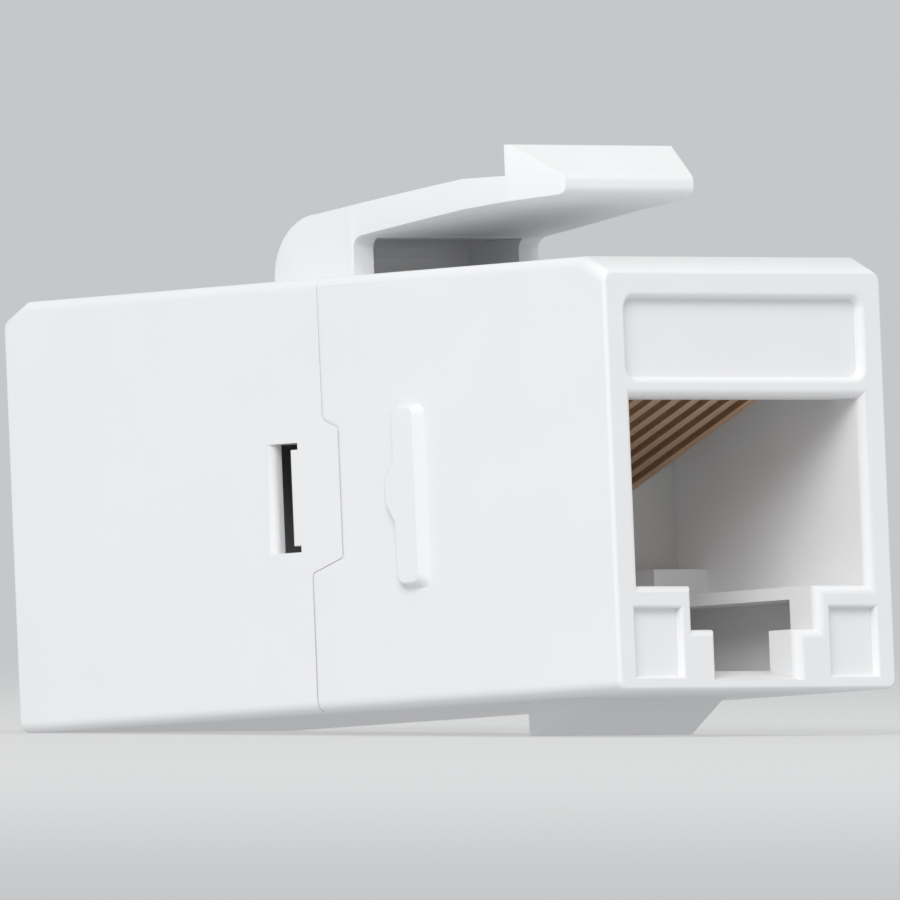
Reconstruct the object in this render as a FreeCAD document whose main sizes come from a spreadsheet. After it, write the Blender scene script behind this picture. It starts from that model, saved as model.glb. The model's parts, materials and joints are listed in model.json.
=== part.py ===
import FreeCAD, Part
import math
import os
import re
import Sketcher

# A snap-in coupler for two modular plugs: two moulded housings hold a pair of contact inserts with a board
# between them, and a flexing latch arm on the rear housing reaches forward over the front one. Lengths are
# in millimetres and angles in degrees. Y runs from the front face to the rear one. Heights are measured from
# the body's underside, or from where a comment says. The finished parts are lowered so that the origin lies
# in the middle of the front port's mouth.
SIZES = {
    "body_width": 14.7,
    "body_height": 15.77,
    "body_length": 30.25,
    "top_bevel_run": 1.1,
    "top_bevel_drop": 0.61,
    "edge_round": 0.4,
    "face_round": 0.15,
    "lip_depth": 1.4,
    "side_wall": 1.25,
    "top_wall": 1.1,
    "floor_wall": 0.75,
    "fit_gap": 0.05,
    # plug port
    "port_width": 12.2,
    "port_floor": 3.79,
    "port_roof": 10.6,
    "port_depth": 9.5,
    "ledge_thickness": 0.45,
    "slot_width": 6.6,
    "slot_floor": 2.2,
    "throat_width": 4.25,
    "sill_height": 0.35,
    "mouth_round": 0.35,
    "stop_length": 1.42,
    "stop_height": 1.0,
    # recesses of the front face, of which the label's bottom is measured up from the port's roof, and its
    # height down from the body's top
    "label_width": 12.45,
    "label_bottom": 0.75,
    "label_height": 1.58,
    "label_depth": 0.35,
    "label_corner": 0.4,
    "label_round": 0.25,
    "mark_size": 2.45,
    "mark_offset": 5.175,
    "mark_bottom": 0.53,
    "mark_depth": 0.28,
    "mark_round": 0.15,
    # seam between the housings, ahead of mid-length, and the snap tongues, whose windows start behind
    # mid-length, over grooves that run on past them
    "seam_top": 0.855,
    "seam_tab": 1.615,
    "seam_bottom": 0.07,
    "seam_gap": 0.06,
    "seam_round": 0.2,
    "tab_top": 10.6,
    "tab_top_slant": 0.33,
    "tab_bottom": 5.05,
    "tab_bottom_slant": 0.5,
    "tongue_root": 1.0,
    "tongue_thickness": 0.68,
    "tongue_bottom": 6.1,
    "tongue_height": 3.49,
    "barb_flat": 0.35,
    "barb_length": 0.6,
    "barb_height": 0.5,
    "window_front": 0.475,
    "window_length": 1.3,
    "window_margin": 0.25,
    "window_round": 0.3,
    "groove_run": 1.5,
    # thumb-shaped bump on each side of the front housing
    "bump_front": 9.2,
    "bump_rear": 10.55,
    "bump_crest": 1.1,
    "bump_rise": 0.4,
    "bump_bottom": 3.92,
    "bump_top": 10.95,
    "bump_end": 0.7,
    "bump_tip": 0.1,
    "bump_corner": 0.4,
    "bulge_depth": 0.45,
    "bulge_foot": 1.15,
    "bulge_flat": 0.4,
    "bulge_round": 0.5,
    # panel hook under the front housing
    "hook_seat": 7.46,
    "hook_length": 2.41,
    "hook_drop": 1.28,
    "hook_width": 8.6,
    "hook_nose_width": 7.2,
    # latch root, from ahead of mid-length to behind it, and the arm that flexes from it, with heights above
    # the body
    "root_front": 0.425,
    "root_rear": 3.6,
    "root_width": 9.82,
    "root_leg": 1.05,
    "root_pocket": 2.6,
    "root_arch": 2.25,
    "pocket_arch": 0.8,
    "arm_root_top": 2.68,
    "arm_root_bottom": 1.5,
    "arm_bend": 9.4,
    "arm_shelf_top": 3.31,
    "arm_shelf_bottom": 2.2,
    "arm_relief": 0.12,
    "catch_seat": 7.47,
    "catch_top": 4.44,
    "catch_width": 8.8,
    "catch_flat": 0.2,
    "nose_front": 5.4,
    "nose_top": 3.18,
    "nose_bottom": 2.55,
    "nose_round": 0.3,
    "nose_width": 6.8,
    "knuckle_radius": 0.45,
    "knuckle_gap": 0.05,
    # contacts, whose run is measured down from the chamber's roof and whose jog is measured ahead of the
    # board, the inserts that guide them, and the board
    "contact_pitch": 1.016,
    "contact_width": 0.4,
    "contact_thickness": 0.36,
    "contact_slope": 24.8,
    "contact_bend": 1.0,
    "contact_front": 2.1,
    "contact_overrun": 0.4,
    "run_height": 1.74,
    "row_pitch": 1.2,
    "jog_start": 1.825,
    "jog_round": 0.6,
    "tail_stub": 0.3,
    "rail_width": 1.3,
    "plate_step": 4.0,
    "plate_flat": 0.03,
    "comb_rib": 0.5,
    "comb_depth": 0.9,
    "comb_margin": 0.4,
    "insert_wall": 1.4,
    "insert_foot": 1.4,
    "insert_web": 1.2,
    "board_thickness": 1.6,
    "hole_diameter": 0.66,
}
CONTACTS = 8
NEAR = 1e-4

doc = FreeCAD.newDocument("keystone_coupler")
sheet = doc.addObject("Spreadsheet::Sheet", "Dim")
for row, (size_name, size) in enumerate(SIZES.items(), 1):
    sheet.set("A%d" % row, size_name)
    sheet.set("B%d" % row, str(size))
    sheet.setAlias("B%d" % row, size_name)
doc.recompute()

# Sizes that follow from the driving ones, as expressions
body_side = "body_width / 2"
chamber_side = "(body_width / 2 - side_wall)"
port_side = "port_width / 2"
chamber_roof = "(body_height - top_wall)"
slot_side = "slot_width / 2"
ledge_bottom = "(port_floor - ledge_thickness)"
port_axis = "(port_floor + port_roof) / 2"
tongue_side = "(%s + tongue_thickness)" % chamber_side
window_start = "(body_length / 2 + window_front)"
root_start = "(body_length / 2 - root_front)"
arm_slope = "(arm_shelf_top - arm_root_top) / (%s - arm_bend)" % root_start
knuckle_height = "(body_height + (arm_root_top + arm_root_bottom) / 2)"
board_face = "(body_length - board_thickness) / 2"
run_level = "(body_height - top_wall - run_height)"
bend_height = "(%s - contact_bend)" % run_level
nose_radius = "(contact_bend - contact_thickness / 2 - fit_gap)"
first_contact = "-contact_pitch * %d / 2" % (CONTACTS - 1)
beam_apex = "(contact_front + contact_bend - contact_bend / tan(contact_slope / 2))"
beam_end = "(port_depth + contact_overrun)"
beam_end_height = "(%s - (%s - %s) * tan(contact_slope))" % (run_level, beam_end, beam_apex)


def bound(text):
    """An expression in size names, as the document's cells are called."""
    return re.sub(r"[a-z_]+", lambda word: "Dim." * (word.group() in SIZES) + word.group(), text)


def value(text):
    """The number that an expression in size names stands for."""
    return float(sheet.evalExpression(bound(text)))


def plane_of(body, role):
    """One of the body's own origin planes or axes."""
    return [item for item in body.Origin.OriginFeatures if item.Role == role][0]


def new_body(label, turned=False):
    """An empty body. A turned one is modelled from the rear face, looking back at the front."""
    body = doc.addObject("PartDesign::Body", label)
    body.Label = label
    if turned:
        body.Placement.Rotation = FreeCAD.Rotation(FreeCAD.Vector(0, 0, 1), 180)
        body.setExpression("Placement.Base.y", bound("body_length"))
    body.setExpression("Placement.Base.z", bound("-" + port_axis))
    return body


def pin(sketch, geometry, end, x, y):
    """Fix a sketch point at two expressions."""
    for kind, text in (("DistanceX", x), ("DistanceY", y)):
        rule = sketch.addConstraint(Sketcher.Constraint(kind, -1, 1, geometry, end, value(text)))
        sketch.setExpression("Constraints[%d]" % rule, bound(text))


def draw(sketch, corners, closed):
    """Straight runs through the corners, which are (x, y) or, with an arc, (x, y, radius)."""
    count = len(corners)
    points = [FreeCAD.Vector(value(corner[0]), value(corner[1]), 0) for corner in corners]
    starts = list(points)
    ends = list(points)
    arcs = {}
    for index, corner in enumerate(corners):
        if len(corner) < 3:
            continue
        back = (points[index - 1] - points[index]).normalize()
        ahead = (points[(index + 1) % count] - points[index]).normalize()
        half = back.getAngle(ahead) / 2
        radius = value(corner[2])
        ends[index] = points[index] + back * (radius / math.tan(half))
        starts[index] = points[index] + ahead * (radius / math.tan(half))
        centre = points[index] + (back + ahead).normalize() * (radius / math.sin(half))
        left_turn = back.cross(ahead).z < 0
        first, last = (ends[index], starts[index]) if left_turn else (starts[index], ends[index])
        angles = [math.atan2(point.y - centre.y, point.x - centre.x) for point in (first, last)]
        circle = Part.Circle(centre, FreeCAD.Vector(0, 0, 1), radius)
        arcs[index] = (Part.ArcOfCircle(circle, angles[0], angles[1]), left_turn)
    runs = []
    for index in range(count if closed else count - 1):
        run = Part.LineSegment(starts[index], ends[(index + 1) % count])
        runs.append(sketch.addGeometry(run, False))
    for index, corner in enumerate(corners):
        before = runs[index - 1] if closed or index else None
        after = runs[index] if index < len(runs) else None
        if index in arcs:
            arc = sketch.addGeometry(arcs[index][0], False)
            entry, leave = (1, 2) if arcs[index][1] else (2, 1)
            apex = sketch.addGeometry(Part.Point(points[index]), True)
            sketch.addConstraint(Sketcher.Constraint("Tangent", before, 2, arc, entry))
            sketch.addConstraint(Sketcher.Constraint("Tangent", arc, leave, after, 1))
            bend = sketch.addConstraint(Sketcher.Constraint("Radius", arc, value(corner[2])))
            sketch.setExpression("Constraints[%d]" % bend, bound(corner[2]))
            sketch.addConstraint(Sketcher.Constraint("PointOnObject", apex, 1, before))
            sketch.addConstraint(Sketcher.Constraint("PointOnObject", apex, 1, after))
            pin(sketch, apex, 1, corner[0], corner[1])
        elif after is None:
            pin(sketch, before, 2, corner[0], corner[1])
        else:
            if before is not None:
                sketch.addConstraint(Sketcher.Constraint("Coincident", before, 2, after, 1))
            pin(sketch, after, 1, corner[0], corner[1])


def new_sketch(body, name, role, *outlines, offset="0", closed=True):
    """A sketch of one or more outlines on an origin plane, or moved off it along its normal."""
    sketch = body.newObject("Sketcher::SketchObject", name)
    sketch.AttachmentSupport = [(plane_of(body, role), "")]
    sketch.MapMode = "FlatFace"
    sketch.setExpression("AttachmentOffset.Base.z", bound(offset))
    for corners in outlines:
        draw(sketch, corners, closed)
    return sketch


def new_circles(body, name, role, radius, *centres, offset="0"):
    """A sketch of equal circles."""
    sketch = new_sketch(body, name, role, offset=offset)
    for x, y in centres:
        middle = FreeCAD.Vector(value(x), value(y), 0)
        circle = sketch.addGeometry(Part.Circle(middle, FreeCAD.Vector(0, 0, 1), value(radius)), False)
        rule = sketch.addConstraint(Sketcher.Constraint("Radius", circle, value(radius)))
        sketch.setExpression("Constraints[%d]" % rule, bound(radius))
        pin(sketch, circle, 3, x, y)
    return sketch


def extrude(kind, sketch, length, side="One side", reverse=False):
    """A pad or a pocket of a sketch."""
    body = sketch.getParentGeoFeatureGroup()
    feature = body.newObject("PartDesign::" + kind, sketch.Name.replace("Sketch", kind))
    feature.Profile = sketch
    feature.SideType = side
    feature.Reversed = reverse
    feature.setExpression("Length", bound(length))
    return feature


def mirror(feature):
    """The same feature on the other side of the mid-plane."""
    body = feature.getParentGeoFeatureGroup()
    copy = body.newObject("PartDesign::Mirrored", feature.Name + "Mirrored")
    copy.Originals = [feature]
    copy.MirrorPlane = (plane_of(body, "YZ_Plane"), [""])
    body.Tip = copy
    return copy


def repeat(feature):
    """The same feature at every contact, side by side."""
    body = feature.getParentGeoFeatureGroup()
    row = body.newObject("PartDesign::LinearPattern", feature.Name + "Row")
    row.Originals = [feature]
    row.Direction = (plane_of(body, "X_Axis"), [""])
    row.setExpression("Length", bound("contact_pitch * %d" % (CONTACTS - 1)))
    row.Occurrences = CONTACTS
    body.Tip = row
    return row


def soften(body, name, radius, wanted):
    """Round the edges of the body so far that the test picks."""
    doc.recompute()
    base = body.Tip
    edges = ["Edge%d" % number for number, edge in enumerate(base.Shape.Edges, 1) if wanted(edge)]
    fillet = body.newObject("PartDesign::Fillet", name)
    fillet.Base = (base, edges)
    fillet.setExpression("Radius", bound(radius))
    return fillet


def mirrored_corners(corners):
    """An outline given by its right half, from bottom to top, closed over the mid-plane."""
    return corners + [("-" + x, y) for x, y in reversed(corners)]


def housing(label, seam, turned=False):
    """What both housings share: the shell, its plug port and the plug stops, up to the seam."""
    body = new_body(label, turned)
    outline = [
        ("0", "0"),
        ("0", "body_height - top_bevel_drop"),
        ("top_bevel_run", "body_height"),
        (seam["top"], "body_height"),
        (seam["top"], "tab_top", "seam_round"),
        (seam["tab"], "tab_top - tab_top_slant", "seam_round"),
        (seam["tab"], "tab_bottom + tab_bottom_slant", "seam_round"),
        (seam["bottom"], "tab_bottom", "seam_round"),
        (seam["bottom"], "0"),
    ]
    extrude("Pad", new_sketch(body, label + "ShellSketch", "YZ_Plane", outline), "body_width", "Symmetric")

    # the long edges and the ends of the bevel are rounded, and then the rim of the face
    def long_edge(edge):
        box = edge.BoundBox
        level = box.ZLength < NEAR or box.YMax < value("top_bevel_run") + NEAR
        return abs(abs(edge.CenterOfMass.x) - value(body_side)) < NEAR and box.YMax > NEAR and level

    def face_rim(edge):
        return edge.BoundBox.YMax < NEAR

    soften(body, label + "EdgeRound", "edge_round", long_edge)
    soften(body, label + "FaceRound", "face_round", face_rim)

    # the chamber behind the face is open to the seam, and a thin ledge on each side carries the plug
    chamber = mirrored_corners([
        (chamber_side, "floor_wall"), (chamber_side, ledge_bottom), (slot_side, ledge_bottom),
        (slot_side, "port_floor"), (chamber_side, "port_floor"), (chamber_side, chamber_roof),
    ])
    chamber_sketch = new_sketch(body, label + "ChamberSketch", "XZ_Plane", chamber, offset="-lip_depth")
    extrude("Pocket", chamber_sketch, "body_length")

    # the mouth is stepped like the plug, and its sill slopes up into the channel
    throat_side = "throat_width / 2"
    mouth = mirrored_corners([
        (throat_side, "floor_wall"), (throat_side, "slot_floor"), (slot_side, "slot_floor"),
        (slot_side, "port_floor"), (port_side, "port_floor"), (port_side, "port_roof"),
    ])
    extrude("Pocket", new_sketch(body, label + "MouthSketch", "XZ_Plane", mouth), "lip_depth")
    sill = [("0", "sill_height"), ("lip_depth", "floor_wall"), ("0", "floor_wall")]
    extrude("Pocket", new_sketch(body, label + "SillSketch", "YZ_Plane", sill), "throat_width", "Symmetric")

    def mouth_edge(edge):
        box = edge.BoundBox
        return (abs(box.YMin) < NEAR and abs(box.YMax) < NEAR and box.ZMin > value("sill_height") - NEAR
                and box.ZMax > value("floor_wall") and box.ZMax < value("port_roof") + NEAR
                and max(abs(box.XMin), abs(box.XMax)) < value(port_side) + NEAR)

    soften(body, label + "MouthRound", "mouth_round", mouth_edge)

    # a block on each ledge stops the plug
    stop = [
        (slot_side, "port_floor"), (chamber_side, "port_floor"),
        (chamber_side, "port_floor + stop_height"), (slot_side, "port_floor + stop_height"),
    ]
    stop_front = "port_depth - stop_length"
    stop_sketch = new_sketch(body, label + "StopSketch", "XZ_Plane", stop, offset="-(%s)" % stop_front)
    mirror(extrude("Pad", stop_sketch, "stop_length", reverse=True))
    return body


def front_housing():
    """The housing with the label recess, the panel hook, the side bumps and the snap tongues."""
    seam = {place: "(body_length / 2 - seam_%s)" % place for place in ("top", "tab", "bottom")}
    body = housing("front_housing", seam)
    label_low = "port_roof + label_bottom"
    label_high = "body_height - label_height"
    label = [
        ("-label_width / 2", label_low, "label_corner"),
        ("label_width / 2", label_low, "label_corner"),
        ("label_width / 2", label_high, "label_corner"),
        ("-label_width / 2", label_high, "label_corner"),
    ]
    extrude("Pocket", new_sketch(body, "LabelSketch", "XZ_Plane", label), "label_depth")
    mark_near = "mark_offset - mark_size / 2"
    mark_far = "mark_offset + mark_size / 2"
    mark = [
        (mark_near, "mark_bottom"), (mark_far, "mark_bottom"),
        (mark_far, "mark_bottom + mark_size"), (mark_near, "mark_bottom + mark_size"),
    ]
    mirror(extrude("Pocket", new_sketch(body, "MarkSketch", "XZ_Plane", mark), "mark_depth"))

    def on_face(edge, low, high, side):
        box = edge.BoundBox
        return (box.YMax < NEAR and box.ZMin > value(low) - NEAR and box.ZMax < value(high) + NEAR
                and value(side) - NEAR < max(abs(box.XMin), abs(box.XMax)))

    def label_rim(edge):
        within = abs(edge.CenterOfMass.x) < value("label_width / 2") + NEAR
        return on_face(edge, label_low, label_high, "0") and within

    def mark_rim(edge):
        within = abs(edge.CenterOfMass.x) < value(mark_far) + NEAR
        return on_face(edge, "mark_bottom", "mark_bottom + mark_size", mark_near) and within

    # their rims are rounded as far as the wall beside them allows
    label_wall = "(body_width - label_width) / 2 - face_round - fit_gap"
    mark_wall = "body_width / 2 - (%s) - face_round - fit_gap" % mark_far
    soften(body, "LabelRound", "min(label_round; %s)" % label_wall, label_rim)
    soften(body, "MarkRound", "min(mark_round; %s)" % mark_wall, mark_rim)

    # each bump slopes up from below and from the front to a flat crest, and ends behind in an upright step
    # that bulges in the middle
    middle = "(bump_bottom + bump_end + bump_top) / 2"

    def bump(front, low, high):
        return [
            (front, low, "bump_corner"),
            ("bump_rear", low, "bump_corner"),
            ("bump_rear", middle + " - bulge_foot", "bulge_round"),
            ("bump_rear + bulge_depth", middle + " - bulge_flat", "bulge_round"),
            ("bump_rear + bulge_depth", middle + " + bulge_flat", "bulge_round"),
            ("bump_rear", middle + " + bulge_foot", "bulge_round"),
            ("bump_rear", high, "bump_corner"),
            (front, high, "bump_corner"),
        ]

    foot_outline = bump("bump_front", "bump_bottom", "bump_top")
    crest_outline = bump("(bump_rear - bump_crest)", "bump_bottom + bump_end", "bump_top - bump_tip")
    foot = new_sketch(body, "BumpFootSketch", "YZ_Plane", foot_outline, offset=body_side)
    crest = new_sketch(body, "BumpCrestSketch", "YZ_Plane", crest_outline, offset=body_side + " + bump_rise")
    loft = body.newObject("PartDesign::AdditiveLoft", "BumpLoft")
    loft.Profile = foot
    loft.Sections = [crest]
    loft.Ruled = True
    mirror(loft)

    # the hook is a wedge under the body, narrower at its nose, with an upright face towards the rear
    hook_front = "hook_seat - hook_length"
    plan = [
        ("-hook_nose_width / 2", hook_front), ("hook_nose_width / 2", hook_front),
        ("hook_width / 2", "hook_seat"), ("-hook_width / 2", "hook_seat"),
    ]
    extrude("Pad", new_sketch(body, "HookSketch", "XY_Plane", plan), "hook_drop", reverse=True)
    ramp = [(hook_front, "0"), ("hook_seat", "-hook_drop"), (hook_front, "-hook_drop")]
    extrude("Pocket", new_sketch(body, "HookRampSketch", "YZ_Plane", ramp), "hook_width", "Symmetric")

    # the tongue runs inside the rear housing's wall, and its barb stands in the window there
    tongue_front = seam["tab"] + " - tongue_root"
    barb_front = window_start + " + fit_gap"
    tongue = [
        (chamber_side, tongue_front),
        (tongue_side, tongue_front),
        (tongue_side, barb_front),
        (tongue_side + " + barb_height", barb_front),
        (tongue_side + " + barb_height", barb_front + " + barb_flat"),
        (tongue_side + " + barb_height / 2", barb_front + " + barb_length"),
        (chamber_side, barb_front + " + barb_length"),
    ]
    tongue_sketch = new_sketch(body, "TongueSketch", "XY_Plane", tongue, offset="tongue_bottom")
    mirror(extrude("Pad", tongue_sketch, "tongue_height"))
    return body


def rear_housing():
    """The housing with the barb windows and the latch root."""
    seam = {place: "(body_length / 2 + seam_%s - seam_gap)" % place for place in ("top", "tab", "bottom")}
    body = housing("rear_housing", seam, turned=True)

    # a groove inside each side wall takes the tongue, and a window through the wall takes its barb
    bottom = "tongue_bottom - window_margin"
    top = "tongue_bottom + tongue_height + window_margin"
    window_near = "body_length / 2 - window_front - window_length"
    window_far = "body_length / 2 - window_front"
    mouth = seam["tab"] + " + seam_gap"
    groove_end = window_near + " - groove_run"
    groove = [(groove_end, bottom), (mouth, bottom), (mouth, top), (groove_end, top)]
    groove_sketch = new_sketch(body, "GrooveSketch", "YZ_Plane", groove, offset=chamber_side)
    mirror(extrude("Pocket", groove_sketch, "tongue_thickness + fit_gap", reverse=True))
    window = [(window_near, bottom), (window_far, bottom), (window_far, top), (window_near, top)]
    window_sketch = new_sketch(body, "WindowSketch", "YZ_Plane", window, offset=chamber_side)
    mirror(extrude("Pocket", window_sketch, "body_width", reverse=True))

    def jamb_edge(edge):
        middle = edge.CenterOfMass
        return (abs(abs(middle.x) - value(body_side)) < NEAR and abs(middle.y - value(window_near)) < NEAR
                and abs(edge.Length - value(top) + value(bottom)) < NEAR)

    soften(body, "WindowRound", "window_round", jamb_edge)

    # the latch root is a hood with two legs, an arched back and a pocket that opens forwards
    knuckle = "body_length / 2 + root_front"
    front = knuckle + " - knuckle_gap"
    rear = "body_length / 2 - root_rear"
    roof = "body_height + arm_root_top"
    roof_at_rear = roof + " - (root_rear + root_front) * " + arm_slope
    foot = chamber_roof + " + top_wall / 2"
    hood = [(front, foot), (rear, foot), (rear, roof_at_rear, "root_arch"), (front, roof)]
    extrude("Pad", new_sketch(body, "HoodSketch", "YZ_Plane", hood), "root_width", "Symmetric")
    back = knuckle + " - root_pocket"
    ceiling = "body_height + arm_root_bottom"
    pocket = [
        (front, "body_height"), (back, "body_height"),
        (back, ceiling, "pocket_arch"), (front, ceiling),
    ]
    pocket_sketch = new_sketch(body, "HoodPocketSketch", "YZ_Plane", pocket)
    extrude("Pocket", pocket_sketch, "root_width - 2 * root_leg", "Symmetric")
    socket_sketch = new_circles(body, "KnuckleSeatSketch", "YZ_Plane", "knuckle_radius + knuckle_gap",
                                (knuckle, knuckle_height))
    extrude("Pocket", socket_sketch, "root_width", "Symmetric")
    return body


def latch_arm():
    """The arm from its round root end to the catch and the sloping nose, narrowing towards the nose."""
    body = new_body("latch_arm")
    side = [
        (root_start, "body_height + arm_root_top"),
        (root_start, knuckle_height),
        (root_start + " - arm_relief", "body_height + arm_root_bottom"),
        ("arm_bend", "body_height + arm_shelf_bottom"),
        ("nose_front", "body_height + nose_bottom", "nose_round"),
        ("nose_front", "body_height + nose_top", "nose_round"),
        ("catch_seat - catch_flat", "body_height + catch_top"),
        ("catch_seat", "body_height + catch_top"),
        ("catch_seat", "body_height + arm_shelf_top"),
        ("arm_bend", "body_height + arm_shelf_top"),
    ]
    extrude("Pad", new_sketch(body, "ArmSketch", "YZ_Plane", side), "root_width", "Symmetric")
    plan = [
        ("nose_width / 2", "nose_front"),
        ("catch_width / 2", "catch_seat"),
        ("root_width / 2", root_start),
        ("root_width / 2", "nose_front"),
    ]
    plan_sketch = new_sketch(body, "ArmTaperSketch", "XY_Plane", plan)
    mirror(extrude("Pocket", plan_sketch, "2 * (body_height + catch_top)", "Symmetric"))
    knuckle_sketch = new_circles(body, "KnuckleSketch", "YZ_Plane", "knuckle_radius",
                                 (root_start, knuckle_height))
    extrude("Pad", knuckle_sketch, "root_width", "Symmetric")
    return body


def contact_insert(label, turned=False):
    """The insert behind a port: the guide plate, the comb wall and the foot that meets the board."""
    body = new_body(label, turned)
    low = "port_floor + fit_gap"
    high = chamber_roof + " - fit_gap"
    plate_bottom = bend_height + " - " + nose_radius
    plate_floor = bend_height + " + " + nose_radius
    wall_back = "port_depth + insert_wall"
    outline = [
        ("lip_depth", plate_bottom), ("port_depth", plate_bottom), ("port_depth", low), (board_face, low),
        (board_face, low + " + insert_foot"), (wall_back, low + " + insert_foot"), (wall_back, plate_bottom),
        (board_face, plate_bottom), (board_face, high), ("lip_depth", high),
    ]
    outline_sketch = new_sketch(body, label + "BlockSketch", "YZ_Plane", outline)
    extrude("Pad", outline_sketch, "2 * (%s - fit_gap)" % chamber_side, "Symmetric")

    # a skirt closes the channel behind the plug, and a web on the mid-plane stiffens the wall
    skirt_side = "(%s - fit_gap)" % chamber_side
    neck_side = "(slot_width / 2 - fit_gap)"
    skirt_top = ledge_bottom + " - fit_gap"
    skirt = mirrored_corners([
        (skirt_side, "floor_wall + fit_gap"), (skirt_side, skirt_top),
        (neck_side, skirt_top), (neck_side, low),
    ])
    skirt_sketch = new_sketch(body, label + "SkirtSketch", "XZ_Plane", skirt, offset="-port_depth")
    extrude("Pad", skirt_sketch, "insert_wall", reverse=True)
    web = [(wall_back, low), (board_face, low), (board_face, plate_bottom), (wall_back, plate_bottom)]
    extrude("Pad", new_sketch(body, label + "WebSketch", "YZ_Plane", web), "insert_web", "Symmetric")

    # between the side rails only the guide plate is left, with a round nose inside the contacts' bend
    nose_front = "contact_front + contact_bend - " + nose_radius
    nose_corner = nose_radius + " - plate_flat / 2"
    plate_top = plate_floor + " + comb_rib"
    below = plate_bottom + " - fit_gap"
    clear = [
        ("lip_depth", below), ("port_depth", below), ("port_depth", plate_bottom),
        (nose_front, plate_bottom, nose_corner), (nose_front, plate_floor, nose_corner),
        ("plate_step", plate_floor), ("plate_step", plate_top), (board_face, plate_top),
        (board_face, high), ("lip_depth", high),
    ]
    clear_sketch = new_sketch(body, label + "PlateSketch", "YZ_Plane", clear)
    extrude("Pocket", clear_sketch, "2 * (%s - rail_width)" % chamber_side, "Symmetric")

    # a channel for each contact runs along the plate, and a comb slot guides its free end
    channel = [
        ("plate_step", plate_floor), (board_face, plate_floor), (board_face, plate_top),
        ("plate_step", plate_top),
    ]
    slot_bottom = beam_end_height + " - comb_margin"
    slot = [
        ("port_depth", slot_bottom), ("port_depth + comb_depth", slot_bottom),
        ("port_depth + comb_depth", plate_bottom), ("port_depth", plate_bottom),
    ]
    comb_sketch = new_sketch(body, label + "CombSketch", "YZ_Plane", channel, slot, offset=first_contact)
    repeat(extrude("Pocket", comb_sketch, "contact_width + 2 * fit_gap", "Symmetric"))
    return body


def contact(label, number, turned=False):
    """One contact: a flat wire from the board, round the insert's nose and down into the port."""
    body = new_body(label, turned)
    sign = "-" if turned else ""
    steps = number - (CONTACTS - 1) / 2
    body.setExpression("Placement.Base.x", bound("%scontact_pitch * (%s)" % (sign, steps)))
    tail_end = board_face + " + board_thickness + tail_stub"
    raised = number % 2 == 1
    tail_height = run_level + " + row_pitch" if raised else run_level
    route = [(tail_end, tail_height)]
    if raised:
        jog = board_face + " - jog_start"
        route.append((jog, tail_height, "jog_round"))
        route.append((jog + " - row_pitch", run_level, "jog_round"))
    route.append((beam_apex, run_level, "contact_bend"))
    route.append((beam_end, beam_end_height))
    spine = new_sketch(body, label + "RouteSketch", "YZ_Plane", route, closed=False)
    half_width = "contact_width / 2"
    half_thickness = " contact_thickness / 2"
    section = [
        ("-" + half_width, tail_height + " -" + half_thickness),
        (half_width, tail_height + " -" + half_thickness),
        (half_width, tail_height + " +" + half_thickness),
        ("-" + half_width, tail_height + " +" + half_thickness),
    ]
    profile = new_sketch(body, label + "SectionSketch", "XZ_Plane", section, offset="-(%s)" % tail_end)
    pipe = body.newObject("PartDesign::AdditivePipe", label + "Pipe")
    pipe.Profile = profile
    pipe.Spine = spine
    return body


def circuit_board():
    """The board that joins the contacts, with a hole for every tail."""
    body = new_body("circuit_board")
    edge = chamber_side + " - fit_gap"
    low = "port_floor + fit_gap"
    high = chamber_roof + " - fit_gap"
    outline = [("-(%s)" % edge, low), (edge, low), (edge, high), ("-(%s)" % edge, high)]
    board_sketch = new_sketch(body, "BoardSketch", "XZ_Plane", outline, offset="-" + board_face)
    extrude("Pad", board_sketch, "board_thickness", reverse=True)
    hole_sketch = new_circles(body, "TailHoleSketch", "XZ_Plane", "hole_diameter / 2",
                              (first_contact, run_level), (first_contact, run_level + " + row_pitch"),
                              offset="-" + board_face)
    repeat(extrude("Pocket", hole_sketch, "board_thickness"))
    return body


parts = [front_housing(), rear_housing(), latch_arm(), circuit_board()]
for place, turned in (("front", False), ("rear", True)):
    parts.append(contact_insert(place + "_contact_insert", turned))
    for number in range(CONTACTS):
        parts.append(contact("%s_contact_%d" % (place, number + 1), number, turned))
doc.recompute()

for item in doc.Objects:
    if "Invalid" in item.State or "Error" in item.State:
        raise RuntimeError("%s did not build: %s" % (item.Label, item.State))
    if item.TypeId == "Sketcher::SketchObject" and not item.FullyConstrained:
        raise RuntimeError("%s is not fully constrained" % item.Label)
    if item.TypeId == "PartDesign::Pocket" and item.Shape.Volume > item.BaseFeature.Shape.Volume - NEAR:
        raise RuntimeError("%s cuts nothing" % item.Label)
for body in parts:
    if body.Shape.isNull() or not body.Shape.isValid() or len(body.Shape.Solids) != 1:
        raise RuntimeError("%s is not one valid solid" % body.Label)

os.makedirs("parts", exist_ok=True)
for body in parts:
    body.Shape.exportStep("parts/%s.step" % body.Label)
    print("%-22s %9.3f mm3" % (body.Label, body.Shape.Volume))
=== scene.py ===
import bmesh
import bpy
import json
import math
from mathutils import Matrix, Vector


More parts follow.
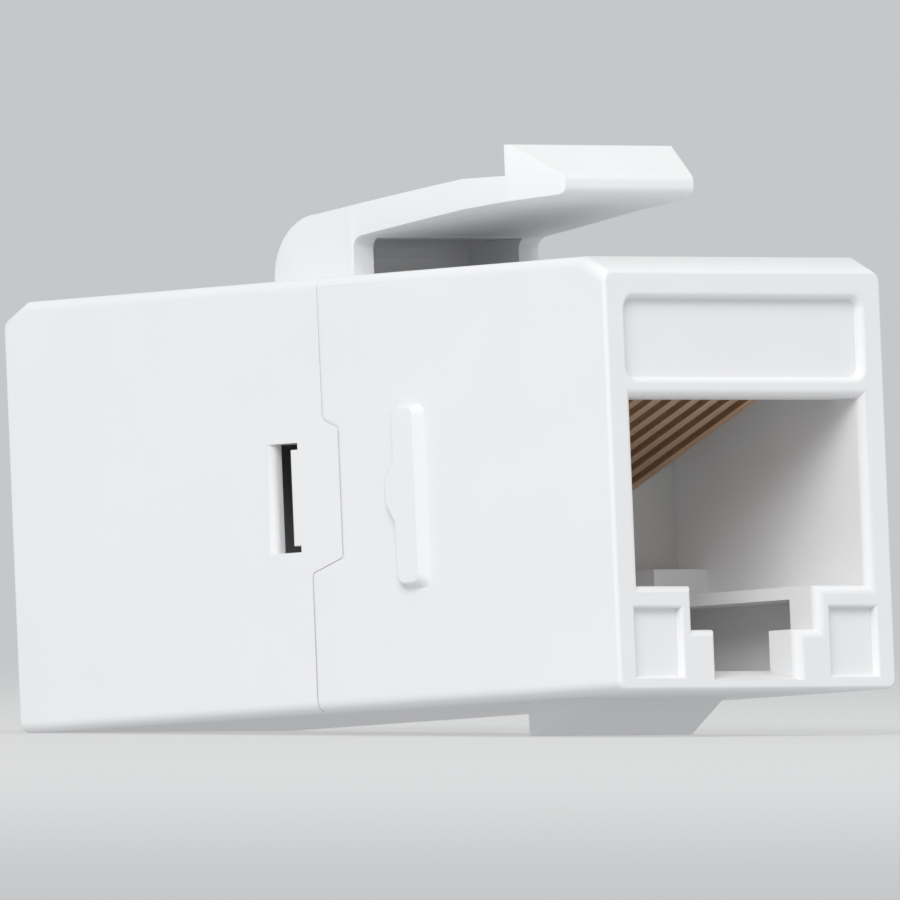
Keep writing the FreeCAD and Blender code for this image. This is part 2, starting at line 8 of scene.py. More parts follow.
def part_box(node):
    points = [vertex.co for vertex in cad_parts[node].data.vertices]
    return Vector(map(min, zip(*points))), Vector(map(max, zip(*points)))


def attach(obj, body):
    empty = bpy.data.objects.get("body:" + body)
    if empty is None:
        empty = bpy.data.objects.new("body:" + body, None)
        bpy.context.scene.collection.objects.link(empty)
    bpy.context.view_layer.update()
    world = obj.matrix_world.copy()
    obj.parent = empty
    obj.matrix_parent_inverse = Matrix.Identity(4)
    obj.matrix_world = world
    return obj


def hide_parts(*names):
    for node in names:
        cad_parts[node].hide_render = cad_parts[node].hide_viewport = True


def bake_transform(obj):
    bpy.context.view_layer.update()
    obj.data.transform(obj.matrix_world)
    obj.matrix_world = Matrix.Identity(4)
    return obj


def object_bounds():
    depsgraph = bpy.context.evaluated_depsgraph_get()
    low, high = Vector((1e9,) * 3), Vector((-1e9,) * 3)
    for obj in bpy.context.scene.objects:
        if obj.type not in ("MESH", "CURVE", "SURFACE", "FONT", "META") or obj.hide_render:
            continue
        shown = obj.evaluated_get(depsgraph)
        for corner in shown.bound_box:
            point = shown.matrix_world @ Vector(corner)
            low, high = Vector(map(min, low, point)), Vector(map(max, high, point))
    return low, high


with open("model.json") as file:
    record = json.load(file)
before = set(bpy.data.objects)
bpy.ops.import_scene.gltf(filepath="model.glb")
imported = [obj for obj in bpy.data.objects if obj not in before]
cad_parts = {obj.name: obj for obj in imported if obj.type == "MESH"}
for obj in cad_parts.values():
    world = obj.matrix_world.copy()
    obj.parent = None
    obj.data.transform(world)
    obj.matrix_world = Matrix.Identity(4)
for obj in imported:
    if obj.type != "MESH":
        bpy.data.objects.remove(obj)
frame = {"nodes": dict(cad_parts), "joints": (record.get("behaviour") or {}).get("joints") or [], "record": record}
cad_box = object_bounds()

# The circuit board
# A small glass-fibre board with a green mask stands across the middle of the coupler and crosses the wires
# over from one port to the other. The two inserts clamp it between them and hide it.

MASK_LOW = (0.012, 0.075, 0.035)
MASK_HIGH = (0.03, 0.16, 0.075)
MASK_ROUGHNESS = 0.3
MASK_ROUGHNESS_SPREAD = 0.2
MASK_COAT = 0.4
WEAVE_SCALE = 900.0
WEAVE_DISTORTION = 1.5
MOTTLE_SCALE = 1400.0


class Shade:
    """A shader socket that takes part in sums and products, and through which any other node is added."""

    def __init__(self, tree, socket=None):
        self.tree = tree
        self.socket = socket

    def add(self, kind, settings, sockets, out=0):
        """Add a node of this type, with its settings and the values or links of its sockets."""
        node = self.tree.nodes.new("ShaderNode" + kind)
        for name, setting in settings.items():
            setattr(node, name, setting)
        for name, given in sockets.items():
            if isinstance(given, Shade):
                self.tree.links.new(given.socket, node.inputs[name])
            else:
                node.inputs[name].default_value = given
        return Shade(self.tree, node.outputs[out])

    def maths(self, operation, first, second):
        return self.add("Math", {"operation": operation}, {0: first, 1: second})

    def __add__(self, other):
        return self.maths("ADD", self, other)

    def __mul__(self, other):
        return self.maths("MULTIPLY", self, other)

    __radd__ = __add__
    __rmul__ = __mul__

    def between(self, low, high):
        """A colour between two, picked by this value from 0 to 1. Sockets 6 and 7 take the two colours."""
        return self.add("Mix", {"data_type": "RGBA"}, {"Factor": self, 6: (*low, 1), 7: (*high, 1)}, out=2)


def new_material(name):
    """A new material with the start of its node tree, its surface shader and its place on the object."""
    material = bpy.data.materials.new(name)
    material.use_nodes = True
    start = Shade(material.node_tree)
    place = start.add("TexCoord", {}, {}, out="Object")
    return material, start, material.node_tree.nodes["Principled BSDF"], place


def feed(shader, **links):
    """Link what changes over the surface to the shader's sockets."""
    for name, link in links.items():
        link.tree.links.new(link.socket, shader.inputs[name.replace("_", " ")])


board_material, start, shader, place = new_material("board_mask")
weave = start.add("TexWave", {"bands_direction": "Z"},
                  {"Vector": place, "Scale": WEAVE_SCALE, "Distortion": WEAVE_DISTORTION}, out="Fac")
mottle = start.add("TexNoise", {}, {"Vector": place, "Scale": MOTTLE_SCALE, "Detail": 4.0})
mask = (0.5 * weave + 0.5 * mottle).between(MASK_LOW, MASK_HIGH)
feed(shader, Base_Color=mask, Roughness=MASK_ROUGHNESS_SPREAD * mottle + MASK_ROUGHNESS)
shader.inputs["Coat Weight"].default_value = MASK_COAT
frame["nodes"]["circuit_board"].material_slots[0].material = board_material

# The contact inserts
# One plastic insert is pressed in behind each port and seats on the board. Its guide plate carries the
# contacts, its comb wall closes the port, and its skirt closes the channel for the plug's latch tab.

MM = 0.001
NEAR = 0.001 * MM
WELD_REACH = 0.0001 * MM
FLAT_ANGLE = math.radians(0.5)
EDGE_ANGLE = math.radians(32)
INSERT_LOW = (0.57, 0.57, 0.565)
INSERT_HIGH = (0.61, 0.61, 0.605)
INSERT_ROUGHNESS = 0.42
INSERT_ROUND = 0.04 * MM
PRESS_FIT = 0.045 * MM
CLOUD_SCALE = 260.0
GRAIN_SCALE = 9000.0
GRAIN_DEPTH = 0.02 * MM
GRAIN_STRENGTH = 0.1
PLASTIC_ROUGHNESS_SPREAD = 0.08
PLASTIC_IOR = 1.46


def satin_plastic(name, low, high, roughness):
    """Satin moulded plastic: a faint cloudiness in the colour and the fine grain of a spark-eroded mould."""
    material, start, shader, place = new_material(name)
    cloud = start.add("TexNoise", {}, {"Vector": place, "Scale": CLOUD_SCALE, "Detail": 3.0})
    grain = start.add("TexNoise", {},
                      {"Vector": place, "Scale": GRAIN_SCALE, "Detail": 4.0, "Roughness": 0.6})
    relief = start.add("Bump", {}, {"Height": grain, "Strength": GRAIN_STRENGTH, "Distance": GRAIN_DEPTH})
    uneven = PLASTIC_ROUGHNESS_SPREAD * cloud + PLASTIC_ROUGHNESS_SPREAD * grain
    feed(shader, Base_Color=cloud.between(low, high), Normal=relief, Roughness=uneven + roughness)
    shader.inputs["IOR"].default_value = PLASTIC_IOR
    return material


def new_piece(name, content):
    """A new object in the scene, at the origin, of a mesh, a lamp or a camera."""
    piece = bpy.data.objects.new(name, content)
    bpy.context.scene.collection.objects.link(piece)
    return piece


def welded_copy(node, name):
    """A copy of a CAD node with its loose triangles merged into one skin of flat faces."""
    mesh = frame["nodes"][node].data.copy()
    mesh.materials.clear()
    skin = bmesh.new()
    skin.from_mesh(mesh)
    bmesh.ops.remove_doubles(skin, verts=skin.verts, dist=WELD_REACH)
    bmesh.ops.dissolve_limit(skin, angle_limit=FLAT_ANGLE, verts=skin.verts, edges=skin.edges)
    skin.to_mesh(mesh)
    skin.free()
    return new_piece(name, mesh)


def mould_round(piece, size, segments):
    """Round the sharp edges as a mould leaves them."""
    bevel = piece.modifiers.new("mould_round", "BEVEL")
    bevel.width = size
    bevel.segments = segments
    bevel.limit_method = "ANGLE"
    bevel.angle_limit = EDGE_ANGLE


def finish_mesh(piece, material):
    """Turn a piece and its modifiers into a plain mesh, smooth over its rounds and flat on its faces."""
    for polygon in piece.data.polygons:
        polygon.use_smooth = True
    normals = piece.modifiers.new("flat_faces", "WEIGHTED_NORMAL")
    normals.keep_sharp = True
    normals.weight = 100
    mesh = bpy.data.meshes.new_from_object(piece.evaluated_get(bpy.context.evaluated_depsgraph_get()))
    piece.modifiers.clear()
    piece.data = mesh
    mesh.materials.clear()
    mesh.materials.append(material)


insert_material = satin_plastic("insert_plastic", INSERT_LOW, INSERT_HIGH, INSERT_ROUGHNESS)
for port in ("front", "rear"):
    node = port + "_contact_insert"
    insert = welded_copy(node, port + "_insert")
    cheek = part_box(node)[1].x - NEAR
    for vertex in insert.data.vertices:
        if abs(vertex.co.x) > cheek:
            vertex.co.x += math.copysign(PRESS_FIT, vertex.co.x)
    mould_round(insert, INSERT_ROUND, segments=2)
    finish_mesh(insert, insert_material)
    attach(insert, "coupler")
    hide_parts(node)

# The contacts
# Eight springs of flat bronze wire with a gold flash stand side by side in each port. Each is soldered in the
# board, runs along the insert's plate, turns round its nose and slopes down into the port, with its free end
# held in the comb. Every second tail is raised, so that the holes in the board stand in two rows.

CONTACTS = 8
STRIP_WIDTH = 0.45 * MM
STRIP_THICKNESS = 0.36 * MM
STRIP_CORNER = 0.05 * MM
STRIP_CORNER_STEPS = 3
CONTACT_SLOPE = math.radians(24.8)
NOSE_BEND = 1.0 * MM
JOG_BEND = 0.6 * MM
JOG_AHEAD = 1.825 * MM
BEND_STEPS = 8
BRONZE_LOW = (0.65, 0.42, 0.265)
BRONZE_HIGH = (0.83, 0.56, 0.365)
BRONZE_ROUGHNESS = 0.22
DRAWN_ROUGHNESS = 0.2
DRAWN_SCALE = (9000.0, 600.0, 9000.0)
TARNISH_SCALE = 700.0

contact_material, start, shader, place = new_material("contact_metal")
drawn_place = start.add("Mapping", {}, {"Vector": place, "Scale": DRAWN_SCALE})
drawn = start.add("TexNoise", {}, {"Vector": drawn_place, "Scale": 1.0, "Detail": 3.0})
tarnish = start.add("TexNoise", {}, {"Vector": place, "Scale": TARNISH_SCALE, "Detail": 2.0})
feed(shader, Base_Color=tarnish.between(BRONZE_LOW, BRONZE_HIGH),
     Roughness=DRAWN_ROUGHNESS * drawn + BRONZE_ROUGHNESS)
shader.inputs["Metallic"].default_value = 1.0


def contact_row_tree():
    """Nodes that bend a route, sweep a flat wire along it and repeat it side by side."""
    tree = bpy.data.node_groups.new("contact_row", "GeometryNodeTree")
    sockets = {"Route": "Geometry", "Count": "Int", "First": "Float", "Pitch": "Float", "Width": "Float",
               "Thickness": "Float", "Corner": "Float", "Finish": "Material"}
    for name, kind in sockets.items():
        tree.interface.new_socket(name, in_out="INPUT", socket_type="NodeSocket" + kind)
    tree.interface.new_socket("Row", in_out="OUTPUT", socket_type="NodeSocketGeometry")

    def node(kind, settings=None, **links):
        made = tree.nodes.new(kind)
        for name, setting in (settings or {}).items():
            setattr(made, name, setting)
        for name, given in links.items():
            socket = made.inputs[name.replace("_", " ")]
            if isinstance(given, bpy.types.NodeSocket):
                tree.links.new(given, socket)
            else:
                socket.default_value = given
        return made

    given = tree.nodes.new("NodeGroupInput").outputs
    line = node("GeometryNodeMeshToCurve", Mesh=given["Route"])
    bend = node("GeometryNodeInputNamedAttribute", {"data_type": "FLOAT"}, Name="bend")
    bent = node("GeometryNodeFilletCurve", {"mode": "POLY"}, Curve=line.outputs[0], Count=BEND_STEPS,
                Radius=bend.outputs[0], Limit_Radius=True)
    upright = node("GeometryNodeSetCurveNormal", {"mode": "Z_UP"}, Curve=bent.outputs[0])
    section = node("GeometryNodeCurvePrimitiveQuadrilateral", Width=given["Width"], Height=given["Thickness"])
    rolled = node("GeometryNodeFilletCurve", {"mode": "POLY"}, Curve=section.outputs[0],
                  Count=STRIP_CORNER_STEPS, Radius=given["Corner"])
    wire = node("GeometryNodeCurveToMesh", Curve=upright.outputs[0], Profile_Curve=rolled.outputs[0],
                Fill_Caps=True)
    first = node("ShaderNodeCombineXYZ", X=given["First"])
    step = node("ShaderNodeCombineXYZ", X=given["Pitch"])
    row = node("GeometryNodeMeshLine", Count=given["Count"], Start_Location=first.outputs[0],
               Offset=step.outputs[0])
    placed = node("GeometryNodeInstanceOnPoints", Points=row.outputs[0], Instance=wire.outputs[0])
    solid = node("GeometryNodeRealizeInstances", Geometry=placed.outputs[0])
    dressed = node("GeometryNodeSetMaterial", Geometry=solid.outputs[0], Material=given["Finish"])
    tree.links.new(dressed.outputs[0], tree.nodes.new("NodeGroupOutput").inputs[0])
    return tree


def route_mesh(name, route):
    """A line through points (y, z, bend radius), with the bends kept as an attribute."""
    mesh = bpy.data.meshes.new(name)
    runs = [(index, index + 1) for index in range(len(route) - 1)]
    mesh.from_pydata([(0, y, z) for y, z, bend in route], runs, [])
    bends = mesh.attributes.new("bend", "FLOAT", "POINT")
    for index, (y, z, bend) in enumerate(route):
        bends.data[index].value = bend
    return mesh


def build_from_nodes(piece, tree, **inputs):
    """Run a node tree on a piece with these inputs, and keep the result as the piece's own mesh."""
    maker = piece.modifiers.new(tree.name, "NODES")
    maker.node_group = tree
    for item in tree.interface.items_tree:
        if item.name in inputs:
            maker[item.identifier] = inputs[item.name]
    mesh = bpy.data.meshes.new_from_object(piece.evaluated_get(bpy.context.evaluated_depsgraph_get()))
    piece.modifiers.clear()
    piece.data = mesh


first_low, first_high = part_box("front_contact_1")
second_low, second_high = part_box("front_contact_2")
board_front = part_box("circuit_board")[0].y
body_length = cad_box[1].y
half_strip = STRIP_THICKNESS / 2
run_height = first_high.z - half_strip
raised_height = second_high.z - half_strip
tail_end = first_high.y
bend_front = first_low.y + half_strip
apex = bend_front + NOSE_BEND - NOSE_BEND / math.tan(CONTACT_SLOPE / 2)
free_height = first_low.z + half_strip * math.cos(CONTACT_SLOPE)
free_end = apex + (run_height - free_height) / math.tan(CONTACT_SLOPE)
jog_rear = board_front - JOG_AHEAD
jog_front = jog_rear - (raised_height - run_height)
pitch = second_low.x - first_low.x
sloping = [(apex, run_height, NOSE_BEND), (free_end, free_height, 0.0)]
jog = [(jog_rear, raised_height, JOG_BEND), (jog_front, run_height, JOG_BEND)]
routes = {
    "straight": [(tail_end, run_height, 0.0)] + sloping,
    "raised": [(tail_end, raised_height, 0.0)] + jog + sloping,
}
contact_tree = contact_row_tree()
for port, side in (("front", 1), ("rear", -1)):
    for first_number, (kind, route) in enumerate(routes.items(), 1):
        if port == "rear":
            route = [(body_length - y, z, bend) for y, z, bend in route]
        name = "%s_contacts_%s" % (port, kind)
        row = new_piece(name, route_mesh(name, route))
        nodes = ["%s_contact_%d" % (port, number) for number in range(first_number, CONTACTS + 1, 2)]
        first_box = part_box(nodes[0])
        build_from_nodes(row, contact_tree, Count=len(nodes), First=(first_box[0].x + first_box[1].x) / 2,
                         Pitch=2 * side * pitch, Width=STRIP_WIDTH, Thickness=STRIP_THICKNESS,
                         Corner=STRIP_CORNER, Finish=contact_material)
        finish_mesh(row, contact_material)
        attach(row, "coupler")
        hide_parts(*nodes)

# The front housing
# A white moulding with the front port, a long shallow recess over it, a square one on each side of the slot,
# the panel hook underneath and a ramped bump on each side. Its inner tongues snap into the rear housing.

WHITE_LOW = (0.785, 0.79, 0.798)
WHITE_HIGH = (0.82, 0.825, 0.833)
WHITE_ROUGHNESS = 0.56
HOUSING_ROUND = 0.06 * MM
TOP_EDGE_ROUND = 0.4 * MM
SEAM_FRONT = 13.4 * MM
SEAM_REAR = 15.3 * MM
SEAM_CLOSE = 0.048 * MM
SEAM_ROUND = 0.17 * MM  # under the 0.2 mm radius of the seam's corners, where a larger round would fold
SEAM_DEPTH = 0.06 * MM
BUMP_FRONT = 9.2 * MM
BUMP_REAR = 10.55 * MM
BUMP_RISE = 0.4 * MM
BUMP_RAMP = 0.25 * MM
BUMP_CORNER = 0.4 * MM
BUMP_ROUND = 0.1 * MM
BUMP_CREST_DROP = 0.22 * MM
BUMP_FOOT_LIFT = 0.28 * MM
BUMP_STEPS = 8


def hollow_bump_end(piece, wall, end_top):
    """Make the slope at each bump's lower end steep and hollow, so that it runs out softly on the wall."""
    skin = bmesh.new()
    skin.from_mesh(piece.data)

    def on_end(vertex):
        along = BUMP_FRONT - NEAR < vertex.co.y < BUMP_REAR + NEAR
        return along and abs(vertex.co.x) > wall - NEAR and vertex.co.z < end_top + NEAR

    for level in [wall + BUMP_RISE * step / BUMP_STEPS for step in range(1, BUMP_STEPS)]:
        for side in (-level, level):
            slopes = [face for face in skin.faces if all(on_end(vertex) for vertex in face.verts)]
            edges = {edge for face in slopes for edge in face.edges}
            ends = {vertex for face in slopes for vertex in face.verts}
            bmesh.ops.bisect_plane(skin, geom=[*slopes, *edges, *ends], dist=NEAR, plane_co=(side, 0, 0),
                                   plane_no=(1, 0, 0))
    for vertex in [vertex for vertex in skin.verts if on_end(vertex)]:
        share = min(1.0, max(0.0, (abs(vertex.co.x) - wall) / BUMP_RISE))
        behind = vertex.co.y - BUMP_FRONT - BUMP_RAMP * share
        hollow = min(1.0, max(0.0, behind / BUMP_CORNER))
        sunk = hollow * (share - 1 + math.sqrt(1 - share ** 2)) * BUMP_RISE
        vertex.co.x -= math.copysign(sunk, vertex.co.x)
        vertex.co.z += BUMP_FOOT_LIFT - (BUMP_CREST_DROP + BUMP_FOOT_LIFT) * share
    skin.to_mesh(piece.data)
    skin.free()


def round_edges(piece, size, depth, level, wanted):
    """Round the sharp edges of a side at this level, where both ends pass the test, down to this depth."""
    skin = bmesh.new()
    skin.from_mesh(piece.data)
    edges = [edge for edge in skin.edges
             if edge.calc_face_angle(0.0) > EDGE_ANGLE
             and all(abs(end.co.x) > level - NEAR and wanted(end.co.y) for end in edge.verts)]
    made = bmesh.ops.bevel(skin, geom=edges, offset=size, segments=4, profile=0.5, affect="EDGES")
    for vertex in made["verts"]:
        sunk = level - abs(vertex.co.x)
        vertex.co.x = math.copysign(level - sunk * depth / size, vertex.co.x)
    skin.to_mesh(piece.data)
    skin.free()


def on_seam(y):
    return SEAM_FRONT < y < SEAM_REAR


def on_crest(y):
    return y > BUMP_FRONT + BUMP_CORNER


white_material = satin_plastic("white_plastic", WHITE_LOW, WHITE_HIGH, WHITE_ROUGHNESS)
front = welded_copy("front_housing", "front_shell")
front_low, front_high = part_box("front_housing")
body_top = front_high.z
crest = front_high.x
wall = crest - BUMP_RISE
crest_foot = min(vertex.co.z for vertex in front.data.vertices if abs(vertex.co.x) > crest - NEAR)
hollow_bump_end(front, wall, crest_foot + BUMP_CORNER)
for vertex in front.data.vertices:
    outer = abs(vertex.co.x) > wall - NEAR or vertex.co.z > body_top - TOP_EDGE_ROUND - NEAR
    if outer and vertex.co.y > SEAM_FRONT:
        vertex.co.y += SEAM_CLOSE
round_edges(front, SEAM_ROUND, SEAM_DEPTH, wall, on_seam)
round_edges(front, BUMP_ROUND, BUMP_ROUND, crest, on_crest)
mould_round(front, HOUSING_ROUND, segments=2)
finish_mesh(front, white_material)
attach(front, "coupler")
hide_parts("front_housing")

# The rear housing
# A moulding of the same white plastic, with the rear port and a window in each side where the tongues' barbs
# show. The latch is moulded on its top: here the skin is closed at the top face, and the latch is a piece of
# its own, which follows.

rear = welded_copy("rear_housing", "rear_shell")
skin = bmesh.new()
skin.from_mesh(rear.data)
everything = skin.verts[:] + skin.edges[:] + skin.faces[:]
bmesh.ops.bisect_plane(skin, geom=everything, plane_co=(0, 0, body_top), plane_no=(0, 0, 1), dist=NEAR,
                       clear_outer=True)
bmesh.ops.holes_fill(skin, edges=[edge for edge in skin.edges if edge.is_boundary])
bmesh.ops.dissolve_limit(skin, angle_limit=FLAT_ANGLE, verts=skin.verts, edges=skin.edges)
skin.to_mesh(rear.data)
skin.free()
mould_round(rear, HOUSING_ROUND, segments=2)
finish_mesh(rear, white_material)
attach(rear, "coupler")
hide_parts("rear_housing")

# The latch
# A springy arm on a hollow arched root, moulded in one with the rear housing. The arm reaches forward over
# the front housing and ends in a catch with a sloping nose. Pressing it bends the arm at its root, so the
# whole latch is one smooth skin, made of sections along its length.

ARM_TOP = 2.68 * MM
ARM_BOTTOM = 1.50 * MM
ARM_BEND = 5.3 * MM
ARM_STEPS = 24
SHELF_TOP = 3.31 * MM
SHELF_BOTTOM = 2.20 * MM
SHELF_STEPS = 6
NOSE_TOP = 3.18 * MM
NOSE_BOTTOM = 2.55 * MM
NOSE_ROUND = 0.3 * MM
NOSE_SIDE = 3.4 * MM
NOSE_STEPS = 4
CATCH_SIDE = 4.4 * MM
CATCH_FLAT = 0.2 * MM
ROOT_LENGTH = 4.025 * MM
ROOT_ARCH = 2.25 * MM
ROOT_FILLET = 0.4 * MM
ROOT_SINK = 0.1 * MM
ROOT_STEPS = 8
ARCH_STEPS = 10
CORNER_STEPS = 6
LEG_WIDTH = 1.05 * MM
POCKET_DEPTH = 2.6 * MM
POCKET_ARCH = 0.8 * MM
LATCH_ROUND = 0.12 * MM
QUARTER = math.pi / 2
SAME_CORNER_DIGITS = 8

mounts = {mount["name"]: mount["pos_m"] for mount in frame["record"]["mounts"]}
hinge = frame["joints"][0]["pos_m"]
arm_low, arm_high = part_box("latch_arm")
root_front = hinge[1]
root_rear = root_front + ROOT_LENGTH
root_side = arm_high.x
root_foot = body_top - ROOT_SINK
bend_place = root_front - ARM_BEND
catch_place = mounts["catch_seat"][1]
nose_place = arm_low.y


class Slope:
    """A straight line through two points: a height or a half width that changes along the arm."""

    def __init__(self, first, last):
        self.start = first
        self.rise = (last[1] - first[1]) / (last[0] - first[0])

    def at(self, y):
        return self.start[1] + self.rise * (y - self.start[0])


top_line = Slope((bend_place, body_top + SHELF_TOP), (root_front, body_top + ARM_TOP))
under_line = Slope((bend_place, body_top + SHELF_BOTTOM), (root_front, body_top + ARM_BOTTOM))
shelf_line = Slope((nose_place, body_top + NOSE_BOTTOM), (bend_place, body_top + SHELF_BOTTOM))
ramp_line = Slope((nose_place, body_top + NOSE_TOP), (catch_place - CATCH_FLAT, arm_high.z))
nose_line = Slope((nose_place, NOSE_SIDE), (catch_place, CATCH_SIDE))


def nose_height(y, line, up):
    """The height of a nose line at y, with its corner at the tip rounded. Up is 1 on top and -1 below."""
    angle = math.atan(line.rise)
    into = y - nose_place
    if into > NOSE_ROUND * (1 - up * math.sin(angle)):
        return line.at(y)
    centre = line.at(nose_place + NOSE_ROUND) - up * NOSE_ROUND / math.cos(angle)
    return centre + up * math.sqrt(max(0.0, NOSE_ROUND ** 2 - (NOSE_ROUND - into) ** 2))


def under_height(y):
    """The height of the arm's underside, with the fillet that joins it to the root."""
    if y < bend_place:
        return nose_height(y, shelf_line, -1)
    past = max(0.0, y - (root_front - ROOT_FILLET))
    return under_line.at(y) - ROOT_FILLET + math.sqrt(max(0.0, ROOT_FILLET ** 2 - past ** 2))


def half_width(y):
    """The arm narrows from its root to the catch in a gentle curve, and then straight to the nose."""
    if y < catch_place:
        return nose_line.at(y)
    share = max(0.0, (root_front - y) / (root_front - catch_place))
    return root_side - (root_side - CATCH_SIDE) * share ** 2


def spread(first, last, count):
    """Places from just after the first to the last."""
    return [first + (last - first) * step / count for step in range(1, count + 1)]


sections = []
for turn in [0.0] + spread(0, QUARTER, CORNER_STEPS):
    y = nose_place + NOSE_ROUND * (1 - math.cos(turn))
    sections.append((y, under_height(y), nose_height(y, ramp_line, 1)))
for y in spread(nose_place + NOSE_ROUND, catch_place - CATCH_FLAT, NOSE_STEPS):
    sections.append((y, under_height(y), ramp_line.at(y)))
sections.append((catch_place, under_height(catch_place), arm_high.z))
sections.append((catch_place, under_height(catch_place), body_top + SHELF_TOP))
shelf_places = spread(catch_place, bend_place, SHELF_STEPS)
arm_places = spread(bend_place, root_front - ROOT_FILLET, ARM_STEPS)
for y in shelf_places + arm_places:
    sections.append((y, under_height(y), min(body_top + SHELF_TOP, top_line.at(y))))
for turn in spread(0, QUARTER, CORNER_STEPS):
    y = root_front - ROOT_FILLET + ROOT_FILLET * math.sin(turn)
    sections.append((y, under_height(y), top_line.at(y)))
for y in [root_front] + spread(root_front, root_rear - ROOT_ARCH, ROOT_STEPS):
    sections.append((y, root_foot, top_line.at(y)))
for turn in spread(0, QUARTER, ARCH_STEPS):
    y = root_rear - ROOT_ARCH * (1 - math.sin(turn))
    sections.append((y, root_foot, top_line.at(root_rear - ROOT_ARCH) - ROOT_ARCH * (1 - math.cos(turn))))

skin = bmesh.new()
corners = {}


def corner_at(*place):
    """A corner of the skin, shared by all the sections that meet there."""
    key = tuple(round(part, SAME_CORNER_DIGITS) for part in place)
    if key not in corners:
        corners[key] = skin.verts.new(place)
    return corners[key]


def close_face(*points):
    """A face of the skin over the points that differ, or none where fewer than three do."""
    points = list(dict.fromkeys(points))
    if len(points) > 2:
        skin.faces.new(points)


def piece_of_skin(name, skin):
    """A new piece whose mesh is this skin, which is used up."""
    mesh = bpy.data.meshes.new(name)
    skin.to_mesh(mesh)
    skin.free()
    return new_piece(name, mesh)


rings = []
for y, low, high in sections:
    side = half_width(y)
    shelf = min(high, body_top + SHELF_TOP)
    heights = (low, shelf, high)
    left = [corner_at(-side, y, z) for z in heights]
    right = [corner_at(side, y, z) for z in heights]
    rings.append(right + left[::-1])
for ahead, behind in zip(rings, rings[1:]):
    for corner in range(len(ahead)):
        close_face(ahead[corner - 1], ahead[corner], behind[corner], behind[corner - 1])
close_face(*rings[0])
close_face(*rings[-1])
bmesh.ops.recalc_face_normals(skin, faces=skin.faces)
latch = piece_of_skin("latch", skin)

pocket_front = root_front - 2 * ROOT_FILLET
pocket_rear = root_front + POCKET_DEPTH
pocket_top = body_top + ARM_BOTTOM
pocket_foot = root_foot - ROOT_SINK
pocket_side = root_side - LEG_WIDTH
outline = [(pocket_front, pocket_foot), (pocket_rear, pocket_foot)]
for turn in spread(0, QUARTER, CORNER_STEPS):
    y = pocket_rear - POCKET_ARCH * (1 - math.cos(turn))
    outline.append((y, pocket_top - POCKET_ARCH * (1 - math.sin(turn))))
outline.append((pocket_front, pocket_top))
skin = bmesh.new()
left = [skin.verts.new((-pocket_side, y, z)) for y, z in outline]
right = [skin.verts.new((pocket_side, y, z)) for y, z in outline]
close_face(*left)
close_face(*right)
for index in range(len(outline)):
    close_face(left[index - 1], right[index - 1], right[index], left[index])
bmesh.ops.recalc_face_normals(skin, faces=skin.faces)
pocket = piece_of_skin("latch_pocket", skin)
cut = latch.modifiers.new("root_pocket", "BOOLEAN")
cut.operation = "DIFFERENCE"
cut.solver = "EXACT"
cut.object = pocket
mould_round(latch, LATCH_ROUND, segments=3)
finish_mesh(latch, white_material)
bpy.data.objects.remove(pocket)
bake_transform(latch)
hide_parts("latch_arm")

# The table, the light and the camera
# The coupler lies on its hook and its rear edge, on paper that glows a little like a light table, so the
# table leans in the coupler's own frame. One soft lamp stands in front on the left and a weaker one higher on
# the right, and a pale tent fills in. The long lens is level with the table.

PAPER_LOW = (0.2548, 0.2597, 0.2646)
PAPER_HIGH = (0.26, 0.265, 0.27)
PAPER_ROUGHNESS = 0.9
PAPER_SPECULAR = 0.1
PAPER_GLOW = 0.41
FIBRE_SCALE = 500.0
TABLE_REACH = 0.6
FADE_START = 0.06
FADE_END = 0.5
BACKDROP = (0.56, 0.57, 0.58)
TENT = 0.58
LAMP_SIZE = 0.4
KEY_PLACE = Vector((-0.588, -0.353, 0.412))
KEY_POWER = 3.84
FILL_PLACE = Vector((0.307, -0.438, 0.595))
FILL_POWER = 1.29
LAMP_AIM = Vector((0, 15, 0)) * MM
CAMERA_AIM = Vector((-7.716, 7.628, 1.93)) * MM
CAMERA_AZIMUTH = math.radians(-46.54)
CAMERA_DISTANCE = 1.299
LENS_LENGTH = 1435.0
SENSOR_WIDTH = 36.0

hook_place = mounts["hook_seat"][1]
hook_bottom = front_low.z
rear_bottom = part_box("rear_housing")[0].z
lean = math.atan2(rear_bottom - hook_bottom, body_length - hook_place)
table_turn = Matrix.Rotation(lean, 4, "X")
skin = bmesh.new()
bmesh.ops.create_grid(skin, x_segments=1, y_segments=1, size=TABLE_REACH)
skin.transform(Matrix.Translation((0, hook_place, hook_bottom)) @ table_turn)
table = piece_of_skin("table", skin)
table_material, start, shader, place = new_material("table_paper")
fibre = start.add("TexNoise", {}, {"Vector": place, "Scale": FIBRE_SCALE, "Detail": 4.0})
feed(shader, Base_Color=fibre.between(PAPER_LOW, PAPER_HIGH))
shader.inputs["Roughness"].default_value = PAPER_ROUGHNESS
shader.inputs["Specular IOR Level"].default_value = PAPER_SPECULAR
shader.inputs["Emission Color"].default_value = (1, 1, 1, 1)
shader.inputs["Emission Strength"].default_value = PAPER_GLOW
reach = start.add("VectorMath", {"operation": "LENGTH"}, {0: place}, out="Value")
fade = start.add("MapRange", {"interpolation_type": "SMOOTHSTEP"},
                 {"Value": reach, "From Min": FADE_START, "From Max": FADE_END})
underside = start.add("NewGeometry", {}, {}, out="Backfacing")
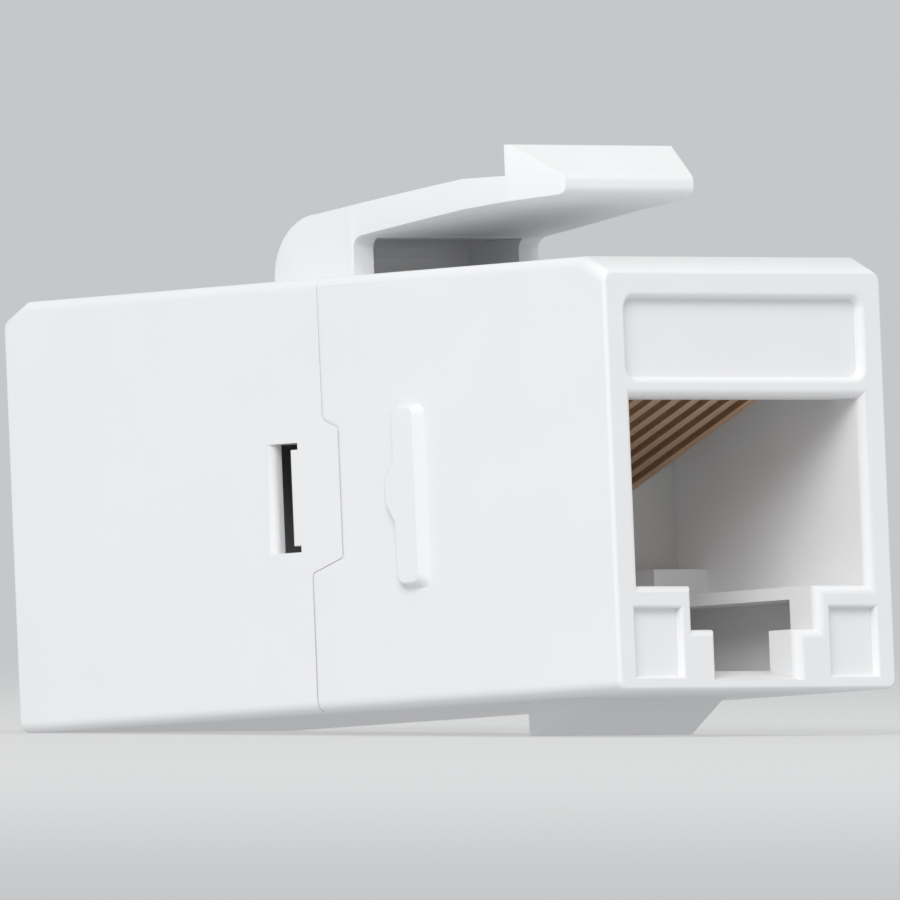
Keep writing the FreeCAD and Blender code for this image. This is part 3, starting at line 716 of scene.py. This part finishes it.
clear = start.add("BsdfTransparent", {}, {})
paper = Shade(start.tree, shader.outputs[0])
shown = start.add("MixShader", {}, {0: start.maths("MAXIMUM", fade, underside), 1: paper, 2: clear})
start.tree.links.new(shown.socket, start.tree.nodes["Material Output"].inputs["Surface"])
table.data.materials.append(table_material)

world = bpy.data.worlds.new("tent")
bpy.context.scene.world = world
world.use_nodes = True
sky = Shade(world.node_tree)
ray_kinds = ("Camera", "Glossy", "Transmission")
rays = [sky.add("LightPath", {}, {}, out="Is %s Ray" % kind) for kind in ray_kinds]
seen = sky.maths("MAXIMUM", rays[0], sky.maths("MAXIMUM", rays[1], rays[2]))
backdrop = sky.add("Background", {}, {"Color": (*BACKDROP, 1), "Strength": 1.0})
tent = sky.add("Background", {}, {"Color": (1, 1, 1, 1), "Strength": TENT})
mixed = sky.add("MixShader", {}, {0: seen, 1: tent, 2: backdrop})
sky.tree.links.new(mixed.socket, sky.tree.nodes["World Output"].inputs["Surface"])


def softbox(name, place, power):
    """A square lamp that faces the coupler and isn't seen itself."""
    lamp = bpy.data.lights.new(name, "AREA")
    lamp.size = LAMP_SIZE
    lamp.energy = power
    stand = new_piece(name, lamp)
    stand.location = place
    stand.rotation_euler = (LAMP_AIM - place).to_track_quat("-Z", "Y").to_euler()
    stand.visible_camera = False


softbox("key_softbox", KEY_PLACE, KEY_POWER)
softbox("fill_softbox", FILL_PLACE, FILL_POWER)

level = Vector((math.sin(CAMERA_AZIMUTH), -math.cos(CAMERA_AZIMUTH), 0))
table_up = table_turn @ Vector((0, 0, 1))
toward = (level - table_up * level.dot(table_up)).normalized()
camera_data = bpy.data.cameras.new("long_lens")
camera_data.lens = LENS_LENGTH
camera_data.sensor_width = SENSOR_WIDTH
camera = new_piece("camera", camera_data)
turn = Matrix((table_up.cross(toward), table_up, toward)).transposed()
camera.matrix_world = Matrix.Translation(CAMERA_AIM + toward * CAMERA_DISTANCE) @ turn.to_4x4()
bpy.context.scene.camera = camera
bpy.context.scene.view_settings.view_transform = "Standard"
